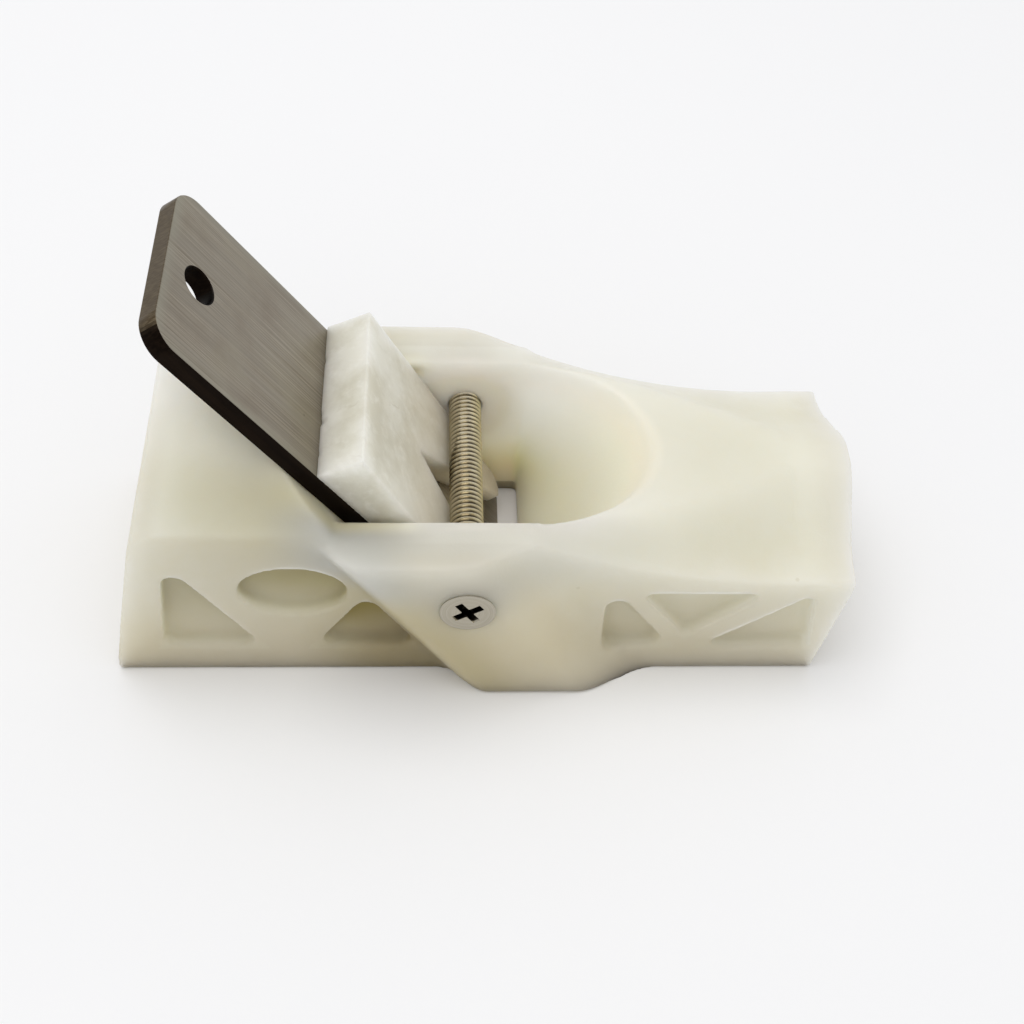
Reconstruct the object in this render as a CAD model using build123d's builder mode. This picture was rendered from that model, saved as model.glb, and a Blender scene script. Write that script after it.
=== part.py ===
from build123d import *
import os
from math import cos, pi, radians, sin, tan

os.makedirs("parts", exist_ok=True)

# A small wedge-clamped hand plane: one cast body, a steel iron, a cast wedge, and a cross screw
# with its nut. +X is the toe, Y runs across, +Z is up. The origin is on the sole, under the cross
# screw. Lengths are in mm and angles in degrees.

# Body: lengths from the cross screw, half widths and heights
heel_length = 61.65
heel_lean = 12.5  # the heel face leans in towards its top
toe_length = 63.0
toe_lean = 8.0  # the toe face leans out towards its top
waist_half = 23.6
pad_half = 29.1
cheek_height = 35.4
hump_height = 55.5
hump_shoulder = (0.835, 0.31)  # a point of the hump's curve: shares of the half width and the rise
hump_crown = (0.42, 0.84)  # a second point of it
hump_slope = 0.9  # rise over run where the hump leaves the heel walls
heel_wall_rise = 0.8  # how far the heel walls stand above the cheeks
toe_wall_height = 24.8
toe_crown = 0.75  # how far the nose's ridge stands up from the toe walls towards the cheeks
sole_edge_chamfer = 0.4
toe_crease_radius = 1.5
cheek_crease_radius = 0.6
heel_crease_radius = 3.0
pad_edge_chamfer = 0.6

# The toe's walls fall from the cheeks between these two stations, fast at first and then slowly.
# Its flat top narrows to a ridge, and a soft S joins that to each wall.
fall_start = 9.65
fall_end = 56.8
fall_ease = 1.85
fall_steps = 5
flat_half = 17.5
flat_fade = 3.5
ridge_half = 0.8
shelf_reach = 0.45  # of the S, level at the wall
crown_reach = 0.26  # of the S, level at the ridge

# Side pads: a band that leans back as it rises, blended into the waist by two arcs and a ramp
pad_lean = 58.0
pad_rear = -4.6
pad_front = 33.8
pad_ramp = 62.0
pad_blend_radius = 3.4
pad_root = 0.02  # how far the blends start inside the waist wall
pad_lap = 0.5  # how far the bands reach into the waist

# Bed, throat and mouth
bed_angle = 55.24
edge_station = 6.79  # where the cutting edge meets the sole
mouth_front = 10.5
mouth_land = 3.0
mouth_half = 19.2
throat_half = 18.4
scoop_reach = 23.0  # from the mouth's front edge to the rim

# Lightening pockets in the side walls: corners as (station, height)
pocket_depth = 2.0
pocket_corner = 2.1
web_pocket_corner = 1.2
heel_pocket = ((-52.8, 7.0), (-35.4, 7.0), (-50.3, 30.6))
heel_web_pocket = ((-26.6, 7.0), (-8.0, 7.0), (-17.0, 21.6))
oval_pocket_station = -29.35
oval_pocket_height = 22.7
oval_pocket_length = 18.3
oval_pocket_rise = 12.4
toe_rear_pocket = ((24.0, 7.0), (36.2, 7.0), (24.0, 24.8))
toe_web_pocket = ((29.6, 22.1), (38.8, 10.0), (51.6, 22.1))
toe_front_pocket = ((41.6, 6.8), (61.3, 6.8), (59.6, 22.0))

# Iron
iron_thickness = 3.4
iron_width = 34.0
iron_length = 92.3
iron_corner = 4.8
bevel_angle = 30.0
hanging_hole = 6.4
hanging_hole_inset = 7.45

# Wedge
wedge_width = 35.0
wedge_end = 55.0
wedge_tip = 4.0
wedge_taper = 6.46
wedge_end_rake = 8.5
notch_apex = 35.0
notch_half_angle = 22.7
notch_radius = 1.5
leg_outer_radius = 3.0

# Cross screw and nut
screw_height = 24.47
screw_diameter = 6.0
screw_length = 55.0
screw_head = 9.6
screw_tip_chamfer = 0.6
recess_span = 5.6
recess_arm = 1.25
recess_depth = 3.0
recess_taper = 8.0
recess_turn = 34.0
nut_flats = 10.0
nut_thickness = 5.0
nut_chamfer = 0.5

# Clearances
screw_clearance = 0.05  # radial, in the body and the nut
head_clearance = 0.1  # radial, round the countersunk head
nut_clearance = 0.1  # to each flat of the nut pocket
wedge_clearance = 0.1  # from the wedge's top to the screw
bed_clearance = 0.02  # between the iron and its bed

# Planes and places worked out from the sizes above
up_the_bed = Vector(-cos(radians(bed_angle)), 0, sin(radians(bed_angle)))
off_the_bed = Vector(sin(radians(bed_angle)), 0, cos(radians(bed_angle)))
edge = Vector(edge_station, 0, 0)
iron_face = Plane(origin=edge, x_dir=up_the_bed, z_dir=off_the_bed)
iron_side = Plane(origin=edge, x_dir=up_the_bed, z_dir=(0, 1, 0))
bed = iron_face.offset(-iron_thickness - bed_clearance)
across_the_pads = Plane(
    origin=(0, 0, 0),
    x_dir=(sin(radians(pad_lean)), 0, cos(radians(pad_lean))),
    z_dir=(-cos(radians(pad_lean)), 0, sin(radians(pad_lean))),
)
screw_axis = Vector(0, 0, screw_height)
head_plane = Plane(origin=(0, -pad_half, screw_height), x_dir=(1, 0, 0), z_dir=(0, -1, 0))
far_face = Plane(origin=(0, pad_half, screw_height), x_dir=(1, 0, 0), z_dir=(0, 1, 0))
screw_radius = screw_diameter / 2
bore_radius = screw_radius + screw_clearance
screw_end = screw_length - pad_half
nut_seat = screw_end - nut_thickness
heel_wall_height = cheek_height + heel_wall_rise
hump_rise = hump_height - heel_wall_height
shoulder_across = hump_shoulder[0] * waist_half
shoulder_height = heel_wall_height + hump_shoulder[1] * hump_rise
crown_across = hump_crown[0] * waist_half
crown_height = heel_wall_height + hump_crown[1] * hump_rise
clear = 5.0  # how far cutters run past what they cut
toe_reach = toe_length + cheek_height * tan(radians(toe_lean)) + clear


def bed_station(height):
    """Where the bed lies at a height above the sole."""
    return bed.origin.X - (height - bed.origin.Z) / tan(radians(bed_angle))


def toe_section(share):
    """Cross-section of the toe, at a share of the fall from the cheeks."""
    station = fall_start + (fall_end - fall_start) * share**fall_ease
    fall = (1 - cos(pi * share)) / 2
    sink = (1 - cos(pi * share**fall_ease)) / 2
    toe_drop = cheek_height - toe_wall_height
    crease = cheek_height - toe_drop * fall
    ridge = cheek_height - (1 - toe_crown) * toe_drop * sink
    flat = flat_half - (flat_half - ridge_half) * share**flat_fade
    run = waist_half - flat
    with BuildSketch(Plane.YZ.offset(station)) as section:
        with BuildLine():
            Polyline((-waist_half, crease), (-waist_half, 0), (waist_half, 0), (waist_half, crease))
            Bezier(
                (waist_half, crease),
                (waist_half - shelf_reach * run, crease),
                (flat + crown_reach * run, ridge),
                (flat, ridge),
            )
            Line((flat, ridge), (-flat, ridge))
            Bezier(
                (-flat, ridge),
                (-flat - crown_reach * run, ridge),
                (-waist_half + shelf_reach * run, crease),
                (-waist_half, crease),
            )
        make_face()
        sides = section.vertices().group_by(Axis.X)
        creases = [side.sort_by(Axis.Y)[-1] for side in (sides[0], sides[-1])]
        fillet(creases, cheek_crease_radius + (toe_crease_radius - cheek_crease_radius) * share)
    return section.sketch


def pad_blend(root_station, towards):
    """Where a pad's blend starts, leaves its root arc, enters its crest arc and ends."""
    ramp = radians(pad_ramp)
    root = waist_half - pad_root
    arc_run = pad_blend_radius * sin(ramp)
    arc_rise = pad_blend_radius * (1 - cos(ramp))
    run = 2 * arc_run + (pad_half - root - 2 * arc_rise) / tan(ramp)
    start = root_station * sin(radians(pad_lean))
    return (
        (start, root),
        (start + towards * arc_run, root + arc_rise),
        (start + towards * (run - arc_run), pad_half - arc_rise),
        (start + towards * run, pad_half),
    )


def rounded_triangle(corners, radius):
    """A pocket outline with its corners rounded."""
    with BuildSketch(Plane.XZ.offset(pad_half)) as outline:
        with BuildLine():
            Polyline(*corners, close=True)
        make_face()
        fillet(outline.vertices(), radius)
    return outline.sketch


# Throat: a straight mouth that opens upwards into a round scoop, closed behind by the bed
with BuildPart() as throat:
    rear = bed_station(cheek_height) - clear
    with BuildSketch(Plane.XY.offset(-clear)) as mouth_opening:
        with Locations((mouth_front, 0)):
            Rectangle(mouth_front - rear, 2 * mouth_half, align=(Align.MAX, Align.CENTER))
    extrude(amount=clear + mouth_land)
    with BuildSketch(Plane.XY.offset(mouth_land)) as scoop_floor:
        with BuildLine():
            Polyline((mouth_front, -throat_half), (rear, -throat_half), (rear, throat_half),
                     (mouth_front, throat_half))
            Line((mouth_front, throat_half), (mouth_front, -throat_half))
        make_face()
    with BuildSketch(Plane.XY.offset(cheek_height)) as scoop_rim:
        with BuildLine():
            Polyline((mouth_front, -throat_half), (rear, -throat_half), (rear, throat_half),
                     (mouth_front, throat_half))
            EllipticalCenterArc(
                (mouth_front, 0),
                scoop_reach,
                throat_half,
                start_angle=-90,
                arc_size=180,
            )
        make_face()
    loft(sections=[scoop_floor.sketch, scoop_rim.sketch], ruled=True)
    extrude(scoop_rim.sketch, amount=hump_height - cheek_height + clear)
    split(bisect_by=bed, keep=Keep.TOP)

# Everything above the cheeks and in front of the bed is open to the sides
with BuildPart() as open_top:
    with BuildSketch(Plane.XZ) as open_side:
        top = hump_height + clear
        with BuildLine():
            Polyline(
                (bed_station(cheek_height), cheek_height),
                (bed_station(top), top),
                (fall_start, top),
                (fall_start, cheek_height),
                close=True,
            )
        make_face()
    extrude(amount=pad_half + clear, both=True)

# Pockets: one set per side
with BuildPart() as pockets:
    reach = -(pad_half - waist_half + pocket_depth)
    for corners, radius in (
        (heel_pocket, pocket_corner),
        (heel_web_pocket, pocket_corner),
        (toe_rear_pocket, pocket_corner),
        (toe_web_pocket, web_pocket_corner),
        (toe_front_pocket, web_pocket_corner),
    ):
        extrude(rounded_triangle(corners, radius), amount=reach)
    with BuildSketch(Plane.XZ.offset(pad_half)) as oval_pocket:
        with Locations((oval_pocket_station, oval_pocket_height)):
            Ellipse(oval_pocket_length / 2, oval_pocket_rise / 2)
    extrude(amount=reach)
    mirror(about=Plane.XZ)

# Pads: bands drawn square to their lean, with the long edges of their faces broken
with BuildPart() as pads:
    rear_blend = pad_blend(pad_rear, 1)
    front_blend = pad_blend(pad_front, -1)
    with BuildSketch(across_the_pads) as pad_band:
        with BuildLine():
            TangentArc(rear_blend[0], rear_blend[1], tangent=(1, 0))
            Line(rear_blend[1], rear_blend[2])
            TangentArc(rear_blend[3], rear_blend[2], tangent=(-1, 0))
            Line(rear_blend[3], front_blend[3])
            TangentArc(front_blend[3], front_blend[2], tangent=(1, 0))
            Line(front_blend[2], front_blend[1])
            TangentArc(front_blend[0], front_blend[1], tangent=(-1, 0))
            Polyline(
                front_blend[0],
                (front_blend[0][0], waist_half - pad_lap),
                (rear_blend[0][0], waist_half - pad_lap),
                rear_blend[0],
            )
        make_face()
    extrude(amount=pad_front + cheek_height, both=True)
    mirror(about=Plane.XZ)
    with BuildSketch(Plane.YZ) as pad_section:
        Rectangle(2 * pad_half, cheek_height, align=(Align.CENTER, Align.MIN))
        chamfer(pad_section.vertices(), pad_edge_chamfer)
    extrude(amount=heel_length, both=True, mode=Mode.INTERSECT)

# Body: heel hump, waist, toe and pads, then the throat, pockets and screw hole
with BuildPart() as plane_body:
    heel_reach = heel_length + clear
    with BuildSketch(Plane.YZ.offset(-heel_reach)) as waist_section:
        Rectangle(2 * waist_half, cheek_height, align=(Align.CENTER, Align.MIN))
    extrude(amount=heel_reach + fall_start)
    with BuildSketch(Plane.YZ.offset(-heel_reach)) as hump_section:
        with BuildLine():
            Polyline(
                (-waist_half, heel_wall_height),
                (-waist_half, 0),
                (waist_half, 0),
                (waist_half, heel_wall_height),
            )
            Spline(
                (waist_half, heel_wall_height),
                (shoulder_across, shoulder_height),
                (crown_across, crown_height),
                (0, hump_height),
                (-crown_across, crown_height),
                (-shoulder_across, shoulder_height),
                (-waist_half, heel_wall_height),
                tangents=((-1, hump_slope), (-1, -hump_slope)),
            )
        make_face()
        fillet(hump_section.vertices().group_by(Axis.Y)[-1], heel_crease_radius)
    extrude(amount=heel_reach + bed_station(cheek_height))
    toe_sections = [toe_section(step / fall_steps) for step in range(fall_steps + 1)]
    loft(sections=toe_sections)
    extrude(toe_sections[-1], amount=toe_reach - fall_end)
    split(
        bisect_by=Plane(
            origin=(-heel_length, 0, 0),
            z_dir=(-cos(radians(heel_lean)), 0, sin(radians(heel_lean))),
        ),
        keep=Keep.BOTTOM,
    )
    split(
        bisect_by=Plane(
            origin=(toe_length, 0, 0),
            z_dir=(cos(radians(toe_lean)), 0, -sin(radians(toe_lean))),
        ),
        keep=Keep.BOTTOM,
    )
    chamfer(plane_body.edges().group_by(Axis.Z)[0], sole_edge_chamfer)
    add(pads.part)
    add(throat.part, mode=Mode.SUBTRACT)
    add(open_top.part, mode=Mode.SUBTRACT)
    add(pockets.part, mode=Mode.SUBTRACT)
    with Locations(head_plane):
        CounterSinkHole(
            bore_radius,
            screw_head / 2 + head_clearance,
            depth=pad_half + nut_seat,
            counter_sink_angle=90,
        )
    with BuildSketch(far_face) as nut_pocket:
        RegularPolygon(nut_flats / 2 + nut_clearance, 6, major_radius=False)
    extrude(amount=nut_seat - pad_half, mode=Mode.SUBTRACT)

# Iron: ground on its underside, with rounded upper corners and a hanging hole
with BuildPart() as plane_iron:
    bevel_run = iron_thickness / tan(radians(bevel_angle))
    with BuildSketch(iron_side) as iron_profile:
        with BuildLine():
            Polyline(
                (0, 0),
                (iron_length, 0),
                (iron_length, -iron_thickness),
                (bevel_run, -iron_thickness),
                close=True,
            )
        make_face()
    extrude(amount=iron_width / 2, both=True)
    upper_corners = plane_iron.edges().filter_by(Axis((0, 0, 0), off_the_bed)).sort_by(Axis.Z)[-2:]
    fillet(upper_corners, iron_corner)
    with Locations(iron_face):
        with Locations((iron_length - hanging_hole_inset, 0)):
            Hole(hanging_hole / 2)

# Wedge: tapered, with a notch that lets the shavings out between its two legs
with BuildPart() as wedge:
    contact = iron_side.to_local_coords(screw_axis)
    slope = tan(radians(wedge_taper))
    under_screw = contact.Y - (screw_radius + wedge_clearance) / cos(radians(wedge_taper))
    tip_height = under_screw - (contact.X - wedge_tip) * slope
    end_height = under_screw + (wedge_end - contact.X) * slope
    end_top = wedge_end - end_height * tan(radians(wedge_end_rake))
    with BuildSketch(iron_side) as wedge_profile:
        with BuildLine():
            Polyline(
                (wedge_tip, 0),
                (wedge_end, 0),
                (end_top, under_screw + (end_top - contact.X) * slope),
                (wedge_tip, tip_height),
                close=True,
            )
        make_face()
    extrude(amount=wedge_width / 2, both=True)
    with BuildSketch(iron_face) as notch:
        mouth_end = wedge_tip - clear
        notch_half = (notch_apex - mouth_end) * tan(radians(notch_half_angle))
        with BuildLine():
            Polyline((notch_apex, 0), (mouth_end, notch_half), (mouth_end, -notch_half), close=True)
        make_face()
        fillet(notch.vertices().sort_by(Axis((0, 0, 0), up_the_bed))[-1], notch_radius)
    extrude(amount=end_height, mode=Mode.SUBTRACT)
    tip_edges = wedge.edges().filter_by(Axis((0, 0, 0), off_the_bed)).group_by(Axis.Z)[0]
    fillet(tip_edges.group_by(Axis.Y)[0] + tip_edges.group_by(Axis.Y)[-1], leg_outer_radius)

# Cross screw: countersunk, with a cross recess; its thread is modelled as a plain shank
with BuildPart() as cross_screw:
    head_height = (screw_head - screw_diameter) / 2
    with BuildSketch(Plane.YZ) as screw_profile:
        with BuildLine():
            Polyline(
                (-pad_half, screw_height),
                (-pad_half, screw_height + screw_head / 2),
                (-pad_half + head_height, screw_height + screw_radius),
                (screw_end - screw_tip_chamfer, screw_height + screw_radius),
                (screw_end, screw_height + screw_radius - screw_tip_chamfer),
                (screw_end, screw_height),
                close=True,
            )
        make_face()
    revolve(axis=Axis(screw_axis, (0, 1, 0)))
    with BuildSketch(head_plane) as recess:
        Rectangle(recess_span, recess_arm, rotation=recess_turn)
        Rectangle(recess_arm, recess_span, rotation=recess_turn)
    extrude(amount=-recess_depth, taper=recess_taper, mode=Mode.SUBTRACT)

# Nut: held from turning by its pocket, with its outer corners turned down
with BuildPart() as cross_nut:
    with BuildSketch(far_face.offset(screw_end - pad_half)) as nut_outline:
        RegularPolygon(nut_flats / 2, 6, major_radius=False)
    extrude(amount=-nut_thickness)
    corner_radius = nut_flats / 2 / cos(radians(30))
    with BuildSketch(Plane.YZ) as nut_turning:
        with BuildLine():
            Polyline(
                (nut_seat, screw_height + bore_radius),
                (nut_seat, screw_height + corner_radius - nut_chamfer),
                (nut_seat + nut_chamfer, screw_height + corner_radius),
                (screw_end - nut_chamfer, screw_height + corner_radius),
                (screw_end, screw_height + corner_radius - nut_chamfer),
                (screw_end, screw_height + bore_radius),
                close=True,
            )
        make_face()
    revolve(axis=Axis(screw_axis, (0, 1, 0)), mode=Mode.INTERSECT)

for name, piece in (
    ("plane_body", plane_body),
    ("plane_iron", plane_iron),
    ("wedge", wedge),
    ("cross_screw", cross_screw),
    ("cross_nut", cross_nut),
):
    piece.part.label = name
    export_step(piece.part, f"parts/{name}.step")
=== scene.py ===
import math

import bmesh
import bpy
import numpy as np
from mathutils import Matrix, Vector, noise


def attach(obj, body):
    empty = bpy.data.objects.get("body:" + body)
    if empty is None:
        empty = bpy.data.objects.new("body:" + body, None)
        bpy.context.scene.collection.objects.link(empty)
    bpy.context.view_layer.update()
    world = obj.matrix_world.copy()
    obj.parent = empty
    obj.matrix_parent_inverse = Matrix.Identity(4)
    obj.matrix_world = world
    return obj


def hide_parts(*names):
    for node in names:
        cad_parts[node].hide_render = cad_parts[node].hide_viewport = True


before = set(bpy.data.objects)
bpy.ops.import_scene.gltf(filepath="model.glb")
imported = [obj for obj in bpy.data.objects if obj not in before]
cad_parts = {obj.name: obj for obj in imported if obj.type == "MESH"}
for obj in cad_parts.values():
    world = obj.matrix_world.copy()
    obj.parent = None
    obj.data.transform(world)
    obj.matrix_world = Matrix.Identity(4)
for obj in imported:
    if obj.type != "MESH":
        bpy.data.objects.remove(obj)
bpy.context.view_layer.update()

MM = 0.001

# Places that the CAD gives
BED_ANGLE = math.radians(55.24)
UP_THE_BED = Vector((-math.cos(BED_ANGLE), 0, math.sin(BED_ANGLE)))
OFF_THE_BED = Vector((math.sin(BED_ANGLE), 0, math.cos(BED_ANGLE)))
EDGE = Vector((6.79 * MM, 0, 0))
SCREW_HEIGHT = 24.47 * MM

# The body, in millimetres
WAIST_HALF = 23.6
PAD_HALF = 29.1
PAD_LEAN = math.radians(58.0)
PAD_RAMP = math.radians(62.0)
PAD_REAR, PAD_FRONT, PAD_ROOT, PAD_BLEND = -4.6, 33.8, 23.58, 3.4
POCKET_DEPTH = 2.0
HEEL_END, HEEL_LEAN = -61.65, 0.2217  # where the heel's foot is, and its lean per mm of height
BODY_VOXEL = 0.42
SOLE_REACH = 0.12  # what is lower than this is laid flat on the floor

# Each eased ramp's root, the way it rises along x, and how far it runs
EASED_RAMPS = ((PAD_FRONT, -1, 11.6), (PAD_REAR, 1, 7.6))

# The heel's end: how far it is pushed out at each height
HEEL_HEIGHTS = (0.3, 3, 12, 32, 52, 56)
HEEL_PUSHES = (0, 0.4, 0.7, 1.1, 0.35, 0.3)

# Pockets: corners as (station, height), and how deep their painted shade gets
POCKETS = (
    (((-52.8, 7.0), (-35.4, 7.0), (-50.3, 30.6)), 0.45),
    (((-26.6, 7.0), (-8.0, 7.0), (-17.0, 21.6)), 1.0),
    (((24.0, 7.0), (36.2, 7.0), (24.0, 24.8)), 0.14),
    (((29.6, 22.1), (38.8, 10.0), (51.6, 22.1)), 0.03),
    (((41.6, 6.8), (61.3, 6.8), (59.6, 22.0)), 0.04),
)
OVAL_STATION, OVAL_HEIGHT = -29.35, 22.7
OVAL_REACH, OVAL_RISE = 18.3 / 2, 12.4 / 2
OVAL_SHADE = 0.63

# How far light wanders inside the resin, in millimetres: in the open, in the scoop, in the
# pockets and on the bed, along the cheeks' inner rim, and round the screw's hole
OPEN_DEPTH, SCOOP_DEPTH, SHORT_DEPTH, RIM_DEPTH, HALO_DEPTH = 30, 52, 6, 3, 3.5

# The wedge, in millimetres. Each chip: place along the iron, across it and off it, radius, depth
WEDGE_VOXEL = 0.3
WEDGE_CHIPS = (
    (55.0, -5.2, 0.4, 1.3, 0.55),
    (55.0, -3.6, 0.2, 0.9, 0.30),
    (55.0, 9.0, 0.2, 1.1, 0.28),
    (55.0, -12.4, 0.3, 1.0, 0.25),
)

# The iron, in millimetres
IRON_LENGTH = 92.3
IRON_WIDTH = 34.0
IRON_THICKNESS = 3.4
IRON_CORNER = 4.8
CORNER_STEPS = 12
IRON_GRIND = math.radians(30)
EDGE_BREAK = 0.16
HOLE = 3.2
HOLE_INSET = 7.45
CREASE = math.radians(40)
SQUARE = 0.9995  # a face turned this squarely along, across or off the iron is shaded flat

# The screw: its thread stands at a share of its height at each eighth of the pitch
THREAD_TOP = 2.97 * MM
THREAD_ROOT = 2.42 * MM
THREAD_SHAPE = (1.0, 1.0, 0.62, 0.28, 0.0, 0.0, 0.28, 0.62)
THREAD_STEPS = 72
PITCH = 1.0 * MM
SHANK_START = -27.4 * MM
THREAD_START = SHANK_START - 1.2 * MM  # the thread is cut off at the shank's start
SCREW_END = 25.9 * MM
TIP_CHAMFER = 0.6 * MM

# The screw's head and its cross recess: (y, radius) in millimetres, and for the recess's two
# bars (y, half length, half width)
HEAD = ((-29.1, 4.45), (-29.07, 4.62), (-28.98, 4.72), (-28.86, 4.72), (-27.3, 3.02),
        (-27.15, 2.8), (-26.6, 2.3))
RECESS_BAR = ((-29.6, 2.88, 0.74), (-29.1, 2.80, 0.70), (-27.4, 1.9, 0.45), (-26.5, 0.9, 0.3))
RECESS_CONE = ((-29.6, 1.12), (-29.1, 1.08), (-27.6, 0.9), (-26.6, 0.2))
RECESS_TURN = -34

# The camera: its place in millimetres, its angles in degrees, and its focal length in pixels of
# a picture this many pixels wide
CAMERA_PLACE = (-5.33, -172.75, 222.61)
CAMERA_DOWN, CAMERA_YAW, CAMERA_ROLL = 50.03, 4.6, 3.73
FOCAL_PIXELS, PICTURE_PIXELS = 1475.66, 1024
SENSOR_WIDTH = 36.0

# Light and floor
ROOM_STRENGTH = 0.735
LAMP_PLACE, LAMP_SIZE, LAMP_POWER = Vector((-0.16, 0.06, 1.15)), 0.9, 5.5
FLOOR_REACH = 6.0


# ---------------------------------------------------------------- pieces and meshes

def link(name, data):
    """Put a mesh, lamp or camera into the scene as an object."""
    piece = bpy.data.objects.new(name, data)
    bpy.context.scene.collection.objects.link(piece)
    return piece


def welded_copy(node, name):
    """A copy of a CAD node's mesh with its split vertices joined again."""
    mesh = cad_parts[node].data.copy()
    mesh.materials.clear()
    work = bmesh.new()
    work.from_mesh(mesh)
    bmesh.ops.remove_doubles(work, verts=work.verts, dist=2e-6)
    work.to_mesh(mesh)
    work.free()
    for layer in list(mesh.uv_layers):
        mesh.uv_layers.remove(layer)
    if "custom_normal" in mesh.attributes:
        mesh.attributes.remove(mesh.attributes["custom_normal"])
    return link(name, mesh)


def skin(work, rings):
    """Close a stack of rings of vertices: a band between each two, and a face over each end."""
    for low, high in zip(rings, rings[1:]):
        for step in range(len(low)):
            after = (step + 1) % len(low)
            work.faces.new((low[step], low[after], high[after], high[step]))
    work.faces.new(rings[0])
    work.faces.new(rings[-1])


def built(work, name):
    """Turn a finished bmesh into a piece."""
    bmesh.ops.recalc_face_normals(work, faces=work.faces)
    mesh = bpy.data.meshes.new(name)
    work.to_mesh(mesh)
    work.free()
    return link(name, mesh)


def lathe(name, profile, steps):
    """A closed turned shape about the screw's axis, from (y, radius) pairs in millimetres."""
    work = bmesh.new()
    rings = []
    for y, radius in profile:
        angles = [2 * math.pi * step / steps for step in range(steps)]
        rings.append([
            work.verts.new((
                radius * MM * math.cos(angle),
                y * MM,
                SCREW_HEIGHT - radius * MM * math.sin(angle),
            ))
            for angle in angles
        ])
    skin(work, rings)
    return built(work, name)


def applied(piece):
    """Turn a piece's modifiers into its own mesh."""
    graph = bpy.context.evaluated_depsgraph_get()
    graph.update()
    done = bpy.data.meshes.new_from_object(piece.evaluated_get(graph))
    old = piece.data
    piece.modifiers.clear()
    piece.data = done
    bpy.data.meshes.remove(old)
    return piece


def combined(piece, operation, *tools, use_self=False):
    """Cut tools out of a piece or join them to it. The tools are used up."""
    for tool in tools:
        step = piece.modifiers.new("combine", "BOOLEAN")
        step.object = tool
        step.operation = operation
        step.solver = "EXACT"
        step.use_self = use_self
    applied(piece)
    for tool in tools:
        bpy.data.objects.remove(tool)


def remeshed(piece, voxel, rounds):
    """Soften a piece's edges as a casting's are: voxel remesh, then smoothing."""
    remesh = piece.modifiers.new("remesh", "REMESH")
    remesh.mode = "VOXEL"
    remesh.voxel_size = voxel * MM
    remesh.use_smooth_shade = True
    return smoothed(applied(piece), rounds)


def smoothed(piece, rounds, share=None):
    """Smooth a piece, all over or by a share at each vertex, in quarters."""
    smooth = piece.modifiers.new("smooth", "SMOOTH")
    smooth.factor = 0.5
    smooth.iterations = rounds
    if share is not None:
        group = piece.vertex_groups.new(name="soft")
        for quarter in range(1, 5):
            chosen = np.nonzero(np.round(share * 4) == quarter)[0]
            group.add([int(index) for index in chosen], quarter / 4, "REPLACE")
        smooth.vertex_group = group.name
    return applied(piece)


def vectors(collection, name):
    """A vector of each vertex as an array."""
    flat = np.empty(len(collection) * 3, np.float32)
    collection.foreach_get(name, flat)
    return flat.reshape(-1, 3).astype(float)


def points(mesh):
    """Vertex places of a mesh."""
    return vectors(mesh.vertices, "co")


def normals(mesh):
    """Vertex normals of a mesh."""
    return vectors(mesh.vertex_normals, "vector")


def set_points(mesh, places):
    """Write vertex places back to a mesh."""
    mesh.vertices.foreach_set("co", places.astype(np.float32).ravel())
    mesh.update()


def store(mesh, name, values, domain="POINT"):
    """Keep one number per vertex or face under a name, for the materials to read."""
    layer = mesh.attributes.new(name, "FLOAT", domain)
    layer.data.foreach_set("value", np.asarray(values, np.float32))


def wander(places, size, seed):
    """Smooth noise between -1 and 1 at each place, with features of one size."""
    shift = Vector((seed * 3.1, seed * 1.7, seed * 2.3))
    return np.array([noise.noise(Vector(p) / size + shift) for p in places])


def waved(places, out, *waves):
    """Push places along their normals by waves, each a size and a height in mm, and a seed.

    The surface also sinks by the first wave's height, so that it hardly passes the CAD's."""
    push = sum(wander(places, size * MM, seed) * height * MM for size, height, seed in waves)
    return places + out * (push - waves[0][1] * MM)[:, None]


def smoothstep(low, high, value):
    """0 at low, 1 at high, and a soft change between. Low may be the greater of the two."""
    t = np.clip((value - low) / (high - low), 0, 1)
    return t * t * (3 - 2 * t)


def towards(start, end, share):
    """Go a share of the way from one value to another."""
    return start + (end - start) * share


# ---------------------------------------------------------------- node helpers

def new_material(name):
    """A material with its tree, its Principled shader and the place being shaded."""
    made = bpy.data.materials.new(name)
    made.use_nodes = True
    tree = made.node_tree
    place = add(tree, "TexCoord").outputs["Object"]
    return made, tree, tree.nodes["Principled BSDF"], place


def feed(tree, socket, value):
    """Set a socket to a constant or link an output to it."""
    if isinstance(value, bpy.types.NodeSocket):
        tree.links.new(value, socket)
    else:
        socket.default_value = value


def feed_all(tree, node, **sockets):
    """Feed a node's sockets by name, with _ for each space."""
    for key, value in sockets.items():
        feed(tree, node.inputs[key.replace("_", " ")], value)


def add(tree, kind, settings=None, **sockets):
    """Add a node, set its options and its sockets by name, and return it."""
    made = tree.nodes.new("ShaderNode" + kind)
    for key, value in (settings or {}).items():
        setattr(made, key, value)
    feed_all(tree, made, **sockets)
    return made


def maths(tree, operation, a, b=0.0):
    """One arithmetic step."""
    made = add(tree, "Math", {"operation": operation})
    feed(tree, made.inputs[0], a)
    feed(tree, made.inputs[1], b)
    return made.outputs[0]


def ramp(tree, value, low, high, to_low=0.0, to_high=1.0):
    """A soft change of a value from one range to another."""
    made = add(tree, "MapRange", {"interpolation_type": "SMOOTHSTEP"}, Value=value)
    for socket, number in zip(list(made.inputs)[1:5], (low, high, to_low, to_high)):
        feed(tree, socket, number)
    return made.outputs[0]


def blended(tree, share, a, b, how="MIX"):
    """Mix two colours."""
    made = add(tree, "Mix", {"data_type": "RGBA", "blend_type": how})
    feed(tree, made.inputs[0], share)
    for index, colour in ((6, a), (7, b)):
        linked = isinstance(colour, bpy.types.NodeSocket)
        feed(tree, made.inputs[index], colour if linked else (*colour, 1))
    return made.outputs[2]


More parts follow.
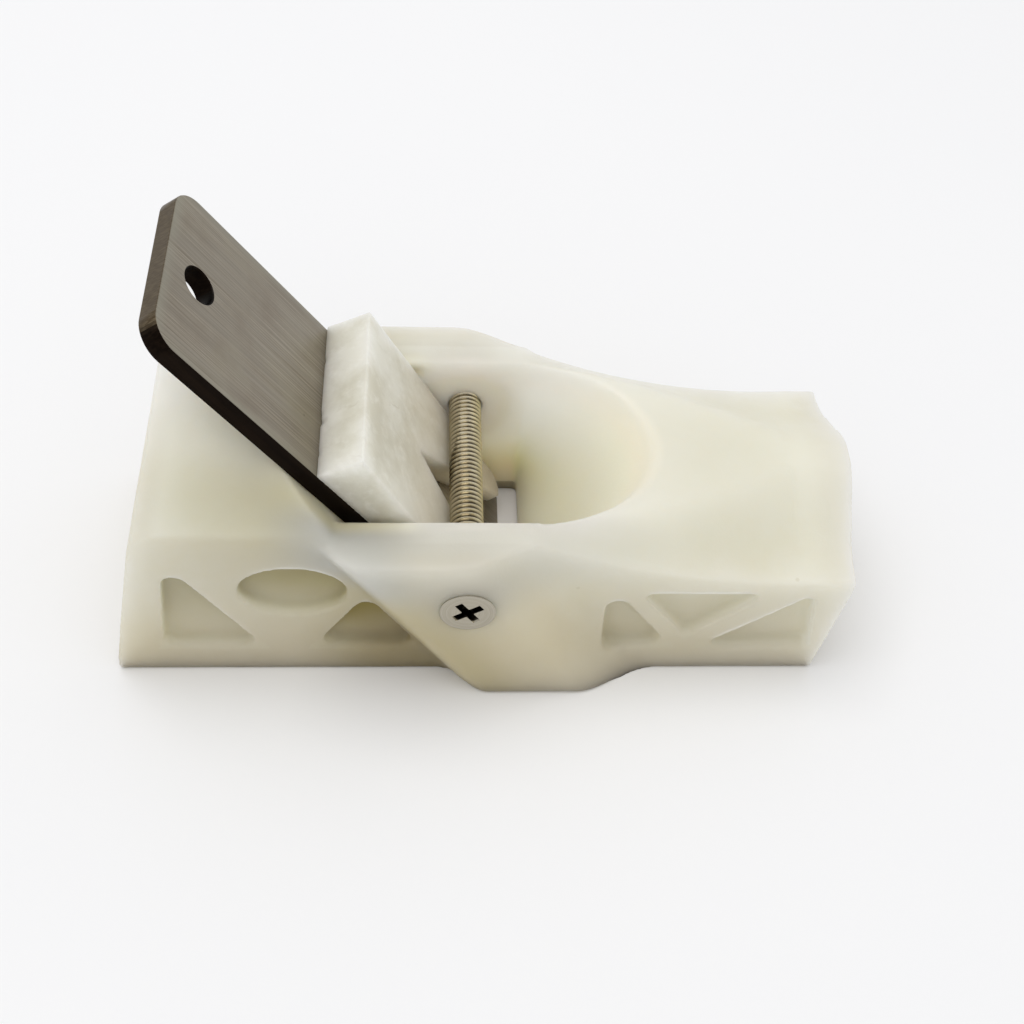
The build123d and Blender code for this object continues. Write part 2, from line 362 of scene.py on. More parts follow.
def split(tree, vector):
    """The three parts of a vector, by X, Y and Z."""
    return add(tree, "SeparateXYZ", None, Vector=vector).outputs


def noise_at(tree, place, scale, detail=3.0, roughness=0.5):
    """Noise at a place, from 0 to 1."""
    made = add(tree, "TexNoise", None, Vector=place, Scale=scale, Detail=detail,
               Roughness=roughness)
    return made.outputs["Fac"]


def cells_at(tree, place, scale):
    """How far a place is from the nearest of scattered points."""
    return add(tree, "TexVoronoi", None, Vector=place, Scale=scale).outputs["Distance"]


def stretched(tree, place, scale):
    """A place scaled along each axis, for streaks."""
    return add(tree, "Mapping", None, Vector=place, Scale=scale).outputs[0]


def stored(tree, name, times=1.0):
    """A number kept on the mesh, times another."""
    number = add(tree, "Attribute", {"attribute_name": name}).outputs["Fac"]
    return number if times == 1.0 else maths(tree, "MULTIPLY", number, times)


def bumped(tree, height, distance, strength, under=None):
    """Turn a height into a bump, on top of another bump if given."""
    made = add(tree, "Bump", None, Height=height, Distance=distance, Strength=strength)
    if under is not None:
        feed_all(tree, made, Normal=under)
    return made.outputs[0]


# ---------------------------------------------------------------- where painted light and shade lie
# Places come in metres. Stations, heights and bounds are in millimetres.

def millimetres(places):
    """The three coordinates of places, in millimetres."""
    return (places / MM).T


def folded(places):
    """The same, with both sides of the body laid onto one."""
    px, py, pz = millimetres(places)
    return px, np.abs(py), pz


def inside_triangle(px, pz, corners, margin):
    """Whether each place lies inside a triangle that is grown by a margin."""
    cx = sum(c[0] for c in corners) / 3
    cz = sum(c[1] for c in corners) / 3
    inside = np.ones(len(px), bool)
    for (ax, az), (bx, bz) in zip(corners, corners[1:] + corners[:1]):
        nx, nz = bz - az, ax - bx
        length = math.hypot(nx, nz)
        nx, nz = nx / length, nz / length
        if nx * (cx - ax) + nz * (cz - az) < 0:
            nx, nz = -nx, -nz
        inside &= nx * (px - ax) + nz * (pz - az) > -margin
    return inside


def inside_oval(px, pz, margin):
    """Whether each place lies inside the oval pocket, grown by a margin."""
    along = (px - OVAL_STATION) / (OVAL_REACH + margin)
    up = (pz - OVAL_HEIGHT) / (OVAL_RISE + margin)
    return along ** 2 + up ** 2 < 1


def over_bed(px, pz):
    """How far each place is above the iron's upper face."""
    return (px - EDGE.x / MM) * OFF_THE_BED.x + pz * OFF_THE_BED.z


def heel_gap(places):
    """How far each place is forward of the heel's leaning end."""
    px, _, pz = millimetres(places)
    return px - (HEEL_END + HEEL_LEAN * pz)


def painted_pocket_shade(places):
    """Painted olive shade in the pockets: strongest under a pocket's upper rim, where its shade
    falls, fading to its ledge.
    """
    px, py, pz = folded(places)
    tone = np.zeros(len(px))
    for corners, strength in POCKETS:
        foot = min(c[1] for c in corners)
        top = max(c[1] for c in corners)
        rise = smoothstep(foot + 0.3, foot + 0.62 * (top - foot), pz)
        inside = inside_triangle(px, pz, corners, 0.3)
        tone = np.where(inside, strength * (0.2 + 0.8 * rise), tone)
    rise = smoothstep(OVAL_HEIGHT - OVAL_RISE, OVAL_HEIGHT + 0.5 * OVAL_RISE, pz)
    tone = np.where(inside_oval(px, pz, 0.3), OVAL_SHADE * (0.4 + 0.6 * rise), tone)
    depth = np.clip((WAIST_HALF - 0.1 - py) / (POCKET_DEPTH - 0.3), 0, 1)
    return np.where(py > 20.5, depth, 0) * tone


def ledge_tone(places):
    """1 along each pocket's lower rim, fading upwards: painted light on each pocket's ledge. It
    is also where the rims are rounded.
    """
    px, py, pz = folded(places)
    tone = np.zeros(len(px))
    for corners, _ in POCKETS:
        foot = min(c[1] for c in corners)
        inside = inside_triangle(px, pz, corners, 0.7)
        tone = np.where(inside, smoothstep(foot + 2.6, foot + 0.2, pz), tone)
    rim = smoothstep(OVAL_HEIGHT - 2.4, OVAL_HEIGHT - OVAL_RISE, pz)
    tone = np.where(inside_oval(px, pz, 0.7), rim, tone)
    return np.where((py > 20.5) & (py < 24.2), tone, 0)


def painted_scoop_light(places):
    """Painted light: 1 on the walls of the throat and scoop, 0 outside."""
    px, py, pz = millimetres(places)
    reach = np.maximum((px - 10.5) / 23.6, 0) ** 2 + (py / 19.0) ** 2
    inside = smoothstep(1.06, 0.90, reach) * smoothstep(-9, -4, over_bed(px, pz))
    return inside * smoothstep(37.0, 26.0, pz) * smoothstep(0.05, 0.4, pz)


def iron_shade(places):
    """Painted shade: how much the dark iron inside darkens the resin under its bed, where it
    blocks the light passing through the resin.
    """
    px, py, pz = folded(places)
    under = -over_bed(px, pz)
    return smoothstep(29, 3, under) * smoothstep(-9, 2, under) * smoothstep(13.5, 20, py)


def painted_wall_shade(places):
    """Painted shade: 1 on the heel's upright side walls and at both ends, less on the toe's side
    walls.
    """
    px, py, _ = folded(places)
    sides = smoothstep(22.6, 23.4, py) * (0.65 + 0.35 * smoothstep(10, -20, px))
    ends = np.maximum(smoothstep(58, 66, px), smoothstep(4.0, 0.5, heel_gap(places)))
    return np.maximum(sides, ends)


def painted_heel_light(places):
    """Painted light: how much paler the heel's top is made behind the iron, under its overhang.
    """
    px, py, pz = millimetres(places)
    return smoothstep(-32, -44, px) * smoothstep(39, 54, pz) * smoothstep(-24, 4, py)


def painted_pad_shade(places):
    """Painted shade: 1 on the pads' faces, fading towards their feet."""
    px, py, pz = folded(places)
    return smoothstep(23.8, 26.5, py) * smoothstep(2, 16, pz) * smoothstep(26, 14, px)


def painted_nook_shade(places):
    """Painted shade: 1 low in the corner between the heel's walls and the pads."""
    px, py, pz = folded(places)
    near = smoothstep(23, 4, np.hypot(px + 9, pz - 4))
    return near * smoothstep(20.4, 21.2, py) * smoothstep(25.8, 24, py)


def painted_halo_light(places):
    """Painted light: 1 on the throat's walls round the cross screw's hole, falling to 0 some way
    out.
    """
    px, py, pz = folded(places)
    away = np.hypot(px, pz - SCREW_HEIGHT / MM)
    return smoothstep(12.5, 6, away) * smoothstep(20.8, 19.6, py)


def painted_cheek_shade(places):
    """Painted grey shade: 1 on the thin cheek beside the throat on the side of -y, and less on
    the other cheek.
    """
    px, py, pz = millimetres(places)
    out = np.abs(py)
    along = smoothstep(-36, -22, px) * smoothstep(38, 10, px)
    behind = smoothstep(-5, -11, px)
    across = smoothstep(15, 18, out) * (1 - behind) + smoothstep(19, 22, out) * behind
    rear = 0.5 + 0.5 * smoothstep(-5, -17, px)
    return along * across * rear * smoothstep(22, 31, pz) * np.where(py < 0, 1.0, 0.3)


def depth_of(places):
    """How far light wanders inside the resin at each place, in millimetres."""
    px, py, pz = folded(places)
    in_scoop = towards(SHORT_DEPTH, SCOOP_DEPTH, smoothstep(6, 24, pz))
    depth = towards(OPEN_DEPTH, in_scoop, painted_scoop_light(places))
    bed = smoothstep(14.0, 16.5, py) * smoothstep(22.5, 19, py) * smoothstep(38, 42, pz)
    bed *= smoothstep(8, -4, px) * smoothstep(-36, -30, px)
    pockets = np.clip(painted_pocket_shade(places) * 1.6, 0, 1)
    depth = towards(depth, SHORT_DEPTH, np.maximum(pockets, bed))
    rim = smoothstep(22, 19.8, py) * smoothstep(16, 17.5, py)
    rim *= smoothstep(31, 34, pz) * smoothstep(38, 36, pz)
    rim *= smoothstep(-5, -9, px) * smoothstep(-32, -26, px)
    depth = towards(depth, RIM_DEPTH, rim)
    return towards(depth, HALO_DEPTH, painted_halo_light(places))


# The body's painted light and shade, in the order in which they are laid on: name, where it
# lies, how strong it is, its colour and how that is mixed in
BODY_LIGHT_AND_SHADE = (
    ("wall_shade", painted_wall_shade, 1.0, (0.89, 0.87, 0.84), "MULTIPLY"),
    ("heel_light", painted_heel_light, 1.0, (0.95, 0.92, 0.81), "MIX"),
    ("shade", iron_shade, 1.0, (0.80, 0.77, 0.64), "MULTIPLY"),
    ("pad_shade", painted_pad_shade, 1.0, (0.95, 0.92, 0.86), "MULTIPLY"),
    ("cheek", painted_cheek_shade, 0.97, (0.472, 0.466, 0.42), "MIX"),
    ("scoop", painted_scoop_light, 1.0, (1.0, 0.90, 0.685), "MIX"),
    ("halo_light", painted_halo_light, 0.9, (1.0, 0.915, 0.82), "MIX"),
    ("pocket", painted_pocket_shade, 1.0, (0.24, 0.185, 0.01), "MIX"),
    ("ledge", ledge_tone, 0.35, (0.60, 0.565, 0.42), "MIX"),
    ("nook_shade", painted_nook_shade, 0.93, (0.28, 0.228, 0.12), "MIX"),
)


# ---------------------------------------------------------------- the cast body

def cad_ramp(gone, rise):
    """How high the CAD's ramp stands past its root: an arc, a straight slope and an arc."""
    arc_run = PAD_BLEND * math.sin(PAD_RAMP)
    arc_rise = PAD_BLEND * (1 - math.cos(PAD_RAMP))
    slope_run = (rise - 2 * arc_rise) / math.tan(PAD_RAMP)
    to_crest = np.maximum(2 * arc_run + slope_run - gone, 0)
    foot = PAD_BLEND - np.sqrt(np.maximum(PAD_BLEND ** 2 - gone ** 2, 0))
    slope = arc_rise + (gone - arc_run) * math.tan(PAD_RAMP)
    crest = rise - PAD_BLEND + np.sqrt(np.maximum(PAD_BLEND ** 2 - to_crest ** 2, 0))
    return np.where(gone < arc_run, foot, np.where(gone < arc_run + slope_run, slope, crest))


def eased_pads(places):
    """How far to move each place in, so that the pads rise from the waist over a longer run."""
    px, _, pz = millimetres(places)
    across = px * math.sin(PAD_LEAN) + pz * math.cos(PAD_LEAN)
    rise = PAD_HALF - PAD_ROOT
    share = np.ones(len(places))
    for root, way, run in EASED_RAMPS:
        gone = np.maximum((across - root * math.sin(PAD_LEAN)) * way, 0)
        wanted = rise * smoothstep(0, run, gone)
        eased = wanted / np.maximum(cad_ramp(gone, rise), 1e-3)
        share = np.minimum(share, np.where(gone > 0.3, eased, 1))
    share = np.clip(share, 0, 1)
    side = np.abs(places[:, 1]) - PAD_ROOT * MM
    near = smoothstep(0.0, 0.5 * MM, side)
    return np.where(side > 0, np.sign(places[:, 1]) * side * (1 - share) * near, 0)


def fuller_heel(places):
    """How far to push the heel's end back, so that it bulges a little at mid height."""
    push = np.interp(places[:, 2] / MM, HEEL_HEIGHTS, HEEL_PUSHES)
    return push * smoothstep(5.0, 1.0, heel_gap(places)) * MM


def crest_share(places):
    """How far each place may be rounded: the outer creases, not the throat, pockets or sole."""
    px, py, pz = folded(places)
    from_screw = np.hypot(px, pz - SCREW_HEIGHT / MM)
    blends = smoothstep(23.2, 24.6, py) * smoothstep(6.0, 8.5, from_screw)
    toe_edges = smoothstep(19.6, 21.6, py) * smoothstep(23.0, 25.0, pz) * smoothstep(12, 14, px)
    cheek_edges = smoothstep(20.5, 22.0, py) * smoothstep(31.5, 33.5, pz)
    far_rim = smoothstep(12.0, 15.0, places[:, 1] / MM) * smoothstep(26.0, 29.0, pz)
    far_rim *= smoothstep(-30, -26, px)
    far_rim *= 1 - 0.7 * smoothstep(14, 4, np.abs(px - 3)) * smoothstep(40, 44, pz)
    inner = smoothstep(61.5, 58.5, px) * smoothstep(-57.5, -54.5, px)
    edges = np.maximum.reduce((blends, toe_edges, cheek_edges, far_rim)) * inner
    return np.maximum(edges, ledge_tone(places) * 0.75) * smoothstep(0.6, 2.2, pz)


def toe_share(places):
    """How far each place may be rounded on the toe's top, where no crease shows at all."""
    px, py, pz = folded(places)
    along = smoothstep(25, 33, px) * smoothstep(58.0, 50.0, px)
    return along * smoothstep(24.5, 27.5, pz) * smoothstep(22, 20, py)


def make_body():
    """The body: the CAD's shape with a casting's soft edges and slight waves."""
    body = remeshed(welded_copy("plane_body", "body_casting"), BODY_VOXEL, rounds=8)
    places = points(body.data)
    places[:, 1] -= eased_pads(places)
    places[:, 0] -= fuller_heel(places)
    set_points(body.data, places)
    smoothed(body, rounds=45, share=crest_share(points(body.data)))
    smoothed(body, rounds=160, share=toe_share(points(body.data)))
    mesh = body.data
    places = points(mesh)
    tones = {name: lies(places) for name, lies, *_ in BODY_LIGHT_AND_SHADE}
    tones["depth"] = depth_of(places)
    places = waved(places, normals(mesh), (14, 0.05, 1), (4.5, 0.018, 2))
    places[places[:, 2] < SOLE_REACH * MM, 2] = 0
    set_points(mesh, places)
    for name, tone in tones.items():
        store(mesh, name, tone)
    mesh.materials.append(resin_material())
    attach(body, "body")
    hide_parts("plane_body")


def resin_material():
    """Translucent ivory resin with painted light and shade: pale on top and in the throat, with
    painted shade darker on the walls, olive in the pockets and browner near the sole.
    """
    made, tree, shader, place = new_material("cast_ivory_resin")
    parts = split(tree, place)
    tone = blended(tree, ramp(tree, noise_at(tree, place, 38.0), 0.3, 0.7),
                   (0.715, 0.692, 0.580), (0.695, 0.667, 0.535))
    cloud = ramp(tree, noise_at(tree, place, 150.0, 4.0), 0.25, 0.75, 0.0, 0.6)
    tone = blended(tree, cloud, tone, (0.725, 0.705, 0.605))
    # Painted shade: darker and browner towards the sole, a little less towards the toe's end
    low = maths(tree, "MULTIPLY", ramp(tree, parts["Z"], 0.030, 0.001, 0.0, 0.66),
                ramp(tree, parts["X"], 0.020, 0.066, 1.0, 0.75))
    tone = blended(tree, low, tone, (0.57, 0.50, 0.33))
    # Then the painted light and shade, one after another
    for name, _, strength, colour, how in BODY_LIGHT_AND_SHADE:
        tone = blended(tree, stored(tree, name, strength), tone, colour, how)
    speck = ramp(tree, cells_at(tree, place, 95.0), 0.045, 0.025)
    tone = blended(tree, maths(tree, "MULTIPLY", speck, 0.25), tone, (0.45, 0.40, 0.26))
    grain = bumped(tree, noise_at(tree, place, 1900.0, 4.0, 0.6), 0.00005, 0.5)
    feed_all(
        tree, shader,
        Base_Color=tone,
        Subsurface_Weight=0.95,
        Subsurface_Scale=stored(tree, "depth", MM),
        Subsurface_Radius=(0.86, 0.93, 1.0),
        IOR=1.45,
        Specular_IOR_Level=0.4,
        Roughness=ramp(tree, noise_at(tree, place, 260.0, 4.0), 0.2, 0.8, 0.36, 0.52),
        Normal=bumped(tree, noise_at(tree, place, 210.0), 0.0002, 0.35, grain),
    )
    return made


# ---------------------------------------------------------------- the cast wedge

def make_wedge():
    """The wedge: softened, with chips along the edge of its thick end."""
    piece = remeshed(welded_copy("wedge", "wedge_casting"), WEDGE_VOXEL, rounds=11)
    mesh = piece.data
    places = waved(points(mesh), normals(mesh), (9, 0.06, 5), (3, 0.02, 6))
    for along, across, off, radius, depth in WEDGE_CHIPS:
        gap = np.linalg.norm(places - np.array(on_the_iron(along, across, off)), axis=1)
        dent = np.clip(1 - gap / (radius * MM), 0, 1) * depth * MM
        places -= np.array(UP_THE_BED) * dent[:, None]
    set_points(mesh, places)
    mesh.materials.append(wedge_material())
    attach(piece, "wedge")
    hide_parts("wedge")


def wedge_material():
    """Cloudier, whiter resin with fine crazing, and painted shade, darker and browner, low down.
    """
    made, tree, shader, place = new_material("cast_cloudy_resin")
    tone = blended(tree, ramp(tree, noise_at(tree, place, 90.0, 5.0, 0.6), 0.36, 0.66),
                   (0.735, 0.72, 0.635), (0.60, 0.575, 0.475))
    white = ramp(tree, noise_at(tree, place, 320.0, 5.0, 0.65), 0.48, 0.8, 0.0, 0.55)
    tone = blended(tree, white, tone, (0.85, 0.84, 0.77))
    # Painted shade: darker and browner low on the wedge
    low = ramp(tree, split(tree, place)["Z"], 0.042, 0.026, 0.0, 0.45)
    tone = blended(tree, low, tone, (0.62, 0.545, 0.40))
    swirl = add(tree, "TexNoise", None, Vector=place, Scale=130.0, Detail=3.0)
    shift = add(tree, "VectorMath", {"operation": "SCALE"},
                Vector=swirl.outputs["Color"], Scale=0.006)
    bent = add(tree, "VectorMath", {"operation": "ADD"})
    feed(tree, bent.inputs[0], place)
    feed(tree, bent.inputs[1], shift.outputs[0])
    cracks = add(tree, "TexVoronoi", {"feature": "DISTANCE_TO_EDGE"},
                 Vector=bent.outputs[0], Scale=62.0)
    line = maths(tree, "MULTIPLY", ramp(tree, cracks.outputs["Distance"], 0.016, 0.0),
                 ramp(tree, noise_at(tree, place, 110.0), 0.5, 0.7, 0.0, 0.5))
    tone = blended(tree, line, tone, (0.50, 0.46, 0.36))
    grain = bumped(tree, noise_at(tree, place, 1500.0, 5.0, 0.6), 0.00006, 0.5)
    feed_all(
        tree, shader,
        Base_Color=tone,
        Subsurface_Weight=1.0,
        Subsurface_Scale=0.012,
        Subsurface_Radius=(0.9, 0.95, 1.0),
        IOR=1.45,
        Specular_IOR_Level=0.4,
        Roughness=ramp(tree, noise_at(tree, place, 400.0, 4.0), 0.2, 0.8, 0.36, 0.55),
        Normal=bumped(tree, noise_at(tree, place, 300.0), 0.0002, 0.35, grain),
    )
    return made


# ---------------------------------------------------------------- the iron

def on_the_iron(along, across, off):
    """A place on the iron, given along it, across it and off its face, in millimetres."""
    spot = EDGE + UP_THE_BED * along * MM + OFF_THE_BED * off * MM
    return Vector((spot.x, across * MM, spot.z))


def iron_outline(start):
    """The iron's outline from one end of its cutting edge round to the other."""
    outline = [(start, -IRON_WIDTH / 2)]
    for side, first in ((-1, -90), (1, 0)):
        for step in range(CORNER_STEPS + 1):
            angle = math.radians(first + 90 * step / CORNER_STEPS)
            outline.append((
                IRON_LENGTH - IRON_CORNER + IRON_CORNER * math.cos(angle),
                side * (IRON_WIDTH / 2 - IRON_CORNER) + IRON_CORNER * math.sin(angle),
            ))
    outline.append((start, IRON_WIDTH / 2))
    return outline


def make_iron():
    """The iron: a ground plate with broken edges and a hanging hole."""
    work = bmesh.new()
    grind = IRON_THICKNESS / math.tan(IRON_GRIND)
    skin(work, [
        [work.verts.new(on_the_iron(along, across, off)) for along, across in iron_outline(start)]
        for start, off in ((0, 0), (grind, -IRON_THICKNESS))
    ])
    piece = built(work, "iron_plate")
    bevel = piece.modifiers.new("bevel", "BEVEL")
    bevel.width = EDGE_BREAK * MM
    bevel.segments = 2
    bevel.limit_method = "ANGLE"
    bevel.angle_limit = CREASE
    drill = lathe("drill", ((-6.0, HOLE), (-EDGE_BREAK, HOLE), (0.0, HOLE + EDGE_BREAK),
                            (1.5, HOLE + EDGE_BREAK)), steps=48)
    centre = on_the_iron(IRON_LENGTH - HOLE_INSET, 0, 0)
    turn = Matrix((UP_THE_BED, OFF_THE_BED, Vector((0, -1, 0)))).transposed().to_4x4()
    to_axis = Matrix.Translation((0, 0, -SCREW_HEIGHT))
    drill.matrix_world = Matrix.Translation(centre) @ turn @ to_axis
    combined(piece, "DIFFERENCE", drill)
    mesh = piece.data
    from_edge = points(mesh) - np.array(EDGE)
    store(mesh, "along", from_edge @ np.array(UP_THE_BED))
    store(mesh, "off", from_edge @ np.array(OFF_THE_BED))
    facing = [polygon.normal.copy() for polygon in mesh.polygons]
    from_hole = [(face.center - centre).cross(OFF_THE_BED).length for face in mesh.polygons]
    store(mesh, "side", [smoothstep(0.3, 0.6, abs(n.y)) for n in facing], "FACE")
    store(mesh, "end", [smoothstep(0.3, 0.6, n.dot(UP_THE_BED)) for n in facing], "FACE")
    store(mesh, "bore_shade", [away < (HOLE + 0.1) * MM for away in from_hole], "FACE")
    mesh.set_sharp_from_angle(angle=CREASE)
    for polygon, normal in zip(mesh.polygons, facing):
        level = max(abs(normal.dot(OFF_THE_BED)), abs(normal.y), abs(normal.dot(UP_THE_BED)))
        polygon.use_smooth = level < SQUARE
    mesh.materials.append(iron_material())
    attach(piece, "iron")
    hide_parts("plane_iron")


def iron_material():
    """Brushed tool steel: streaks along the iron, faint stains, dark scaled edges, and painted
    shade in its hole.
    """
    made, tree, shader, place = new_material("brushed_tool_steel")
    along = stored(tree, "along")
    across = split(tree, place)["Y"]
    side = stored(tree, "side")
    flat = add(tree, "CombineXYZ", None, X=along, Y=across, Z=stored(tree, "off")).outputs[0]
    fine = noise_at(tree, stretched(tree, flat, (40, 4200, 900)), 1.0, 4.0, 0.6)
    broad = noise_at(tree, stretched(tree, flat, (14, 520, 200)), 1.0)
    stain = noise_at(tree, flat, 75.0, 5.0, 0.6)
    patch = noise_at(tree, flat, 55.0, 4.0, 0.6)
    tone = blended(tree, ramp(tree, fine, 0.34, 0.68),
                   (0.215, 0.183, 0.138), (0.385, 0.350, 0.285))
    tone = blended(tree, ramp(tree, broad, 0.42, 0.62, 0.0, 0.45), tone, (0.245, 0.220, 0.180))
    tone = blended(tree, ramp(tree, stain, 0.48, 0.72, 0.0, 0.40), tone, (0.24, 0.195, 0.148))
    tone = blended(tree, ramp(tree, patch, 0.48, 0.70, 0.0, 0.45), tone, (0.335, 0.305, 0.225))
    rim = maths(tree, "MAXIMUM", ramp(tree, maths(tree, "ABSOLUTE", across), 0.0148, 0.0168),
                ramp(tree, along, 0.0895, 0.0920))
    rim = maths(tree, "MULTIPLY", rim, ramp(tree, stain, 0.35, 0.6, 0.15, 0.5))
    tone = blended(tree, rim, tone, (0.35, 0.34, 0.275))
    pits = ramp(tree, cells_at(tree, flat, 110.0), 0.05, 0.02, 0.0, 0.8)
    tone = blended(tree, pits, tone, (0.03, 0.025, 0.02))
    rust = ramp(tree, fine, 0.35, 0.75)
    ends = blended(tree, rust, (0.085, 0.060, 0.033), (0.17, 0.135, 0.085))
    sides = blended(tree, rust, (0.006, 0.003, 0.0015), (0.020, 0.012, 0.007))
    tone = blended(tree, stored(tree, "end"), tone, ends)
    # Painted shade: near black on the hole's walls
    tone = blended(tree, stored(tree, "bore_shade"), tone, (0.012, 0.010, 0.008))
    tone = blended(tree, side, tone, sides)
    rough = maths(tree, "ADD", ramp(tree, fine, 0.2, 0.8, 0.30, 0.48),
                  ramp(tree, stain, 0.5, 0.8, 0.0, 0.12))
    rough = maths(tree, "ADD", rough, maths(tree, "MULTIPLY", side, 0.35))
    feed_all(
        tree, shader,
        Base_Color=tone,
        Metallic=0.95,
        Roughness=rough,
        Normal=bumped(tree, fine, 0.00002, 0.6),
    )
    return made


# ---------------------------------------------------------------- the cross screw and nut

def make_screw():
    """A machine screw with its real helical thread, a countersunk head and a cross recess."""
    per_pitch = len(THREAD_SHAPE)
    rows = int((SCREW_END - SHANK_START) / PITCH * per_pitch) + 3 * per_pitch
    work = bmesh.new()
    grid = []
    for row in range(rows):
        radius = THREAD_ROOT + (THREAD_TOP - THREAD_ROOT) * THREAD_SHAPE[row % per_pitch]
        ring = []
        for step in range(THREAD_STEPS):
            angle = 2 * math.pi * step / THREAD_STEPS
            climb = row * PITCH / per_pitch + angle / (2 * math.pi) * PITCH
            y = THREAD_START + climb
            lead = min(radius, THREAD_TOP - max(0, y - (SCREW_END - TIP_CHAMFER)))
            x, z = lead * math.cos(angle), SCREW_HEIGHT - lead * math.sin(angle)
            ring.append(work.verts.new((x, y, z)))
        grid.append(ring)
    for row, (low, high) in enumerate(zip(grid, grid[1:])):
        for step in range(THREAD_STEPS - 1):
            work.faces.new((low[step], low[step + 1], high[step + 1], high[step]))
        # A ring's end meets the start of the ring one pitch on
        if row + per_pitch + 1 < rows:
            work.faces.new((low[-1], grid[row + per_pitch][0], grid[row + per_pitch + 1][0],
                            high[-1]))
    loose = [v for v in work.verts if not v.link_faces]
    bmesh.ops.delete(work, geom=loose, context="VERTS")
    for end, way in ((SHANK_START, -1), (SCREW_END, 1)):
        bmesh.ops.bisect_plane(
            work,
            geom=list(work.verts) + list(work.edges) + list(work.faces),
            dist=1e-7,
            plane_co=(0, end, 0),
            plane_no=(0, way, 0),
            clear_outer=True,
        )
        rim = [e for e in work.edges if e.is_boundary and abs(e.verts[0].co.y - end) < 1e-6]
        bmesh.ops.holes_fill(work, edges=rim, sides=0)
    for face in work.faces:
        face.smooth = True
    screw = built(work, "cross_screw_threaded")
    combined(screw, "UNION", make_head())
    screw.data.set_sharp_from_angle(angle=math.radians(38))
    screw.data.materials.append(screw_material())
    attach(screw, "screw")
    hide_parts("cross_screw")


def make_head():
    """The countersunk head with its cross recess cut in."""
    head = lathe("screw_head", HEAD, steps=96)
    work = bmesh.new()
    for degrees in (RECESS_TURN, RECESS_TURN + 90):
        turn = Matrix.Rotation(math.radians(degrees), 4, "Y")
        rings = []
        for y, span, arm in RECESS_BAR:
            ring = []
            for x, z in ((span, arm), (-span, arm), (-span, -arm), (span, -arm)):
                spot = turn @ Vector((x * MM, 0, z * MM))
                ring.append(work.verts.new((spot.x, y * MM, SCREW_HEIGHT + spot.z)))
            rings.append(ring)
        skin(work, rings)
    cross = built(work, "recess")
    cone = lathe("recess_cone", RECESS_CONE, steps=32)
    combined(head, "DIFFERENCE", cross, cone, use_self=True)
    return head


def screw_material():
    """Warm plated steel, with painted shade in the thread's roots and in the recess."""
    made, tree, shader, place = new_material("plated_steel")
    parts = split(tree, place)
    drop = maths(tree, "SUBTRACT", parts["Z"], SCREW_HEIGHT)
    radius = maths(tree, "SQRT", maths(tree, "ADD", maths(tree, "POWER", parts["X"], 2.0),
                                       maths(tree, "POWER", drop, 2.0)))
    dull = noise_at(tree, place, 500.0, 4.0, 0.6)
    tone = blended(tree, ramp(tree, dull, 0.3, 0.7), (0.74, 0.675, 0.52), (0.60, 0.535, 0.40))
    shank = ramp(tree, parts["Y"], -0.02745, -0.0273)
    rings = noise_at(tree, add(tree, "CombineXYZ", None, X=radius).outputs[0], 5200.0, 2.0)
    face = blended(tree, ramp(tree, rings, 0.35, 0.65),
                   (0.385, 0.355, 0.285), (0.475, 0.44, 0.365))
    tone = blended(tree, shank, face, tone)
    # Painted shade: darker in the thread's roots
    root = maths(tree, "MULTIPLY", ramp(tree, radius, 0.00288, 0.00252, 0.0, 0.92), shank)
    tone = blended(tree, root, tone, (0.055, 0.040, 0.018))
    # Painted shade: near black in the cross recess
    recess = maths(tree, "MULTIPLY", ramp(tree, parts["Y"], -0.02895, -0.0287),
                   ramp(tree, radius, 0.0034, 0.0031))
    recess = maths(tree, "MULTIPLY", recess, maths(tree, "SUBTRACT", 1.0, shank))
    tone = blended(tree, recess, tone, (0.03, 0.026, 0.02))
    feed_all(
        tree, shader,
        Base_Color=tone,
        Metallic=1.0,
        Roughness=ramp(tree, dull, 0.2, 0.8, 0.13, 0.25),
        Normal=bumped(tree, noise_at(tree, place, 2500.0, 4.0), 0.00002, 0.5),
    )
    return made


def dress_nut():
    """The CAD's nut keeps its shape and gets plated steel."""
    made, tree, shader, place = new_material("nut_plated_steel")
    dull = noise_at(tree, place, 420.0, 5.0, 0.6)
    feed_all(
        tree, shader,
        Base_Color=blended(tree, ramp(tree, dull, 0.3, 0.7),
                           (0.52, 0.48, 0.40), (0.38, 0.345, 0.275)),
        Metallic=1.0,
        Roughness=ramp(tree, dull, 0.2, 0.8, 0.28, 0.48),
        Normal=bumped(tree, noise_at(tree, place, 1800.0, 4.0), 0.00003, 0.5),
    )
    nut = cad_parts["cross_nut"]
    nut.data.materials.clear()
    nut.data.materials.append(made)


# ---------------------------------------------------------------- floor, light and camera

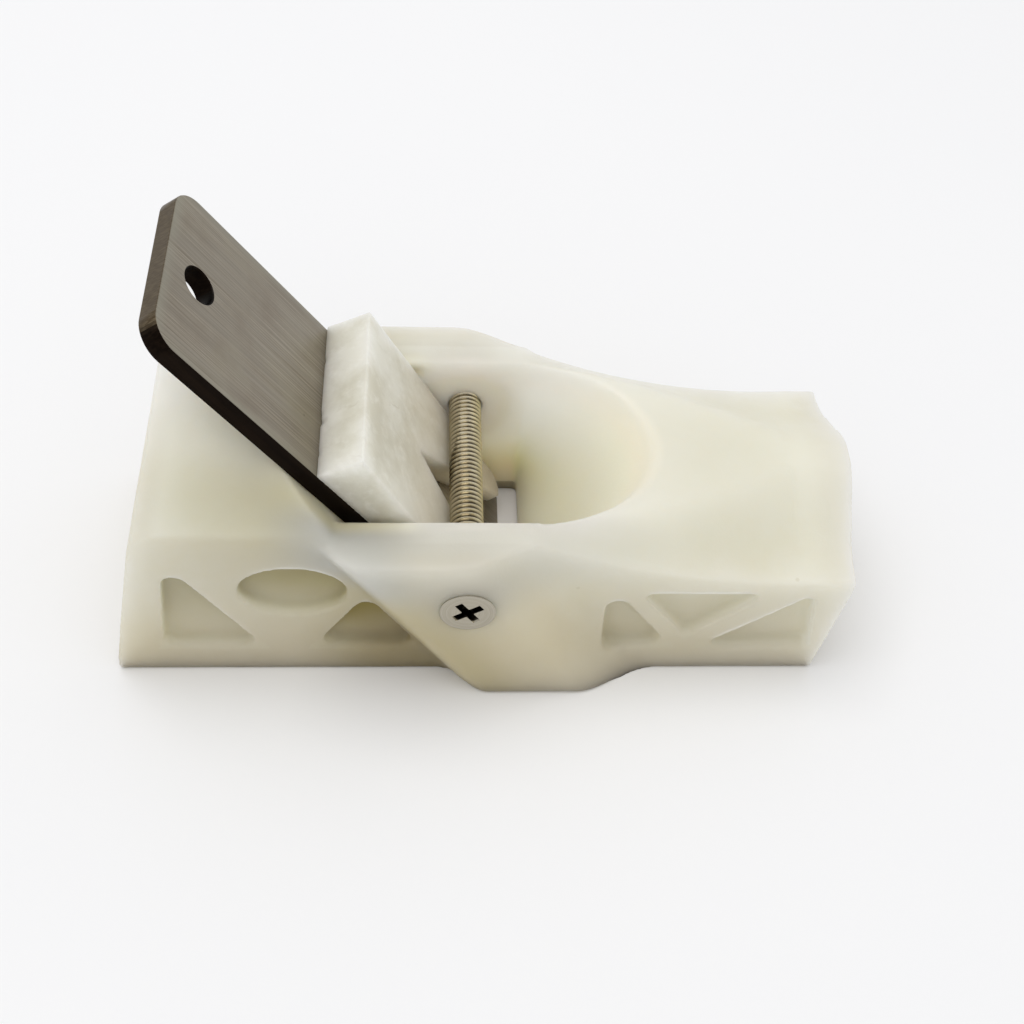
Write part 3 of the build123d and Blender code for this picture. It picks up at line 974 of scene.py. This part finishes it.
def make_floor():
    """A plain pale floor, wide enough to reach every view's horizon."""
    mesh = bpy.data.meshes.new("floor")
    corners = [(x * FLOOR_REACH, y * FLOOR_REACH, 0)
               for x, y in ((-1, -1), (1, -1), (1, 1), (-1, 1))]
    mesh.from_pydata(corners, [], [(0, 1, 2, 3)])
    floor = link("floor", mesh)
    made, tree, shader, place = new_material("pale_floor")
    feed_all(
        tree, shader,
        Base_Color=blended(tree, noise_at(tree, place, 9.0),
                           (0.87, 0.872, 0.885), (0.885, 0.885, 0.892)),
        Roughness=0.7,
        Specular_IOR_Level=0.2,
    )
    mesh.materials.append(made)


def make_lights():
    """Even studio light: a bright room and one large soft box overhead."""
    world = bpy.data.worlds.new("studio")
    bpy.context.scene.world = world
    world.use_nodes = True
    background = world.node_tree.nodes["Background"]
    background.inputs["Color"].default_value = (1.0, 1.0, 1.0, 1)
    background.inputs["Strength"].default_value = ROOM_STRENGTH
    data = bpy.data.lights.new("overhead", "AREA")
    data.shape = "SQUARE"
    data.size = LAMP_SIZE
    data.energy = LAMP_POWER
    lamp = link("overhead", data)
    lamp.location = LAMP_PLACE
    lamp.rotation_euler = (-LAMP_PLACE).to_track_quat("-Z", "Y").to_euler()


def make_camera():
    """The viewing angle of the main picture."""
    down, yaw, roll = (math.radians(angle) for angle in (CAMERA_DOWN, CAMERA_YAW, CAMERA_ROLL))
    level = Vector((math.cos(yaw), -math.sin(yaw), 0))
    ahead = Vector((math.sin(yaw) * math.cos(down), math.cos(yaw) * math.cos(down),
                    -math.sin(down)))
    upward = level.cross(ahead)
    right = level * math.cos(roll) + upward * math.sin(roll)
    top = upward * math.cos(roll) - level * math.sin(roll)
    data = bpy.data.cameras.new("camera")
    data.sensor_width = SENSOR_WIDTH
    data.sensor_fit = "HORIZONTAL"
    data.lens = FOCAL_PIXELS / PICTURE_PIXELS * SENSOR_WIDTH
    data.clip_start = 0.01
    data.clip_end = 30.0
    camera = link("camera", data)
    turn = Matrix((right, top, -ahead)).transposed().to_4x4()
    camera.matrix_world = Matrix.Translation(Vector(CAMERA_PLACE) * MM) @ turn
    bpy.context.scene.camera = camera


make_camera()
make_floor()
make_lights()
make_body()
make_wedge()
make_iron()
make_screw()
dress_nut()

bpy.context.scene.view_settings.view_transform = "Standard"
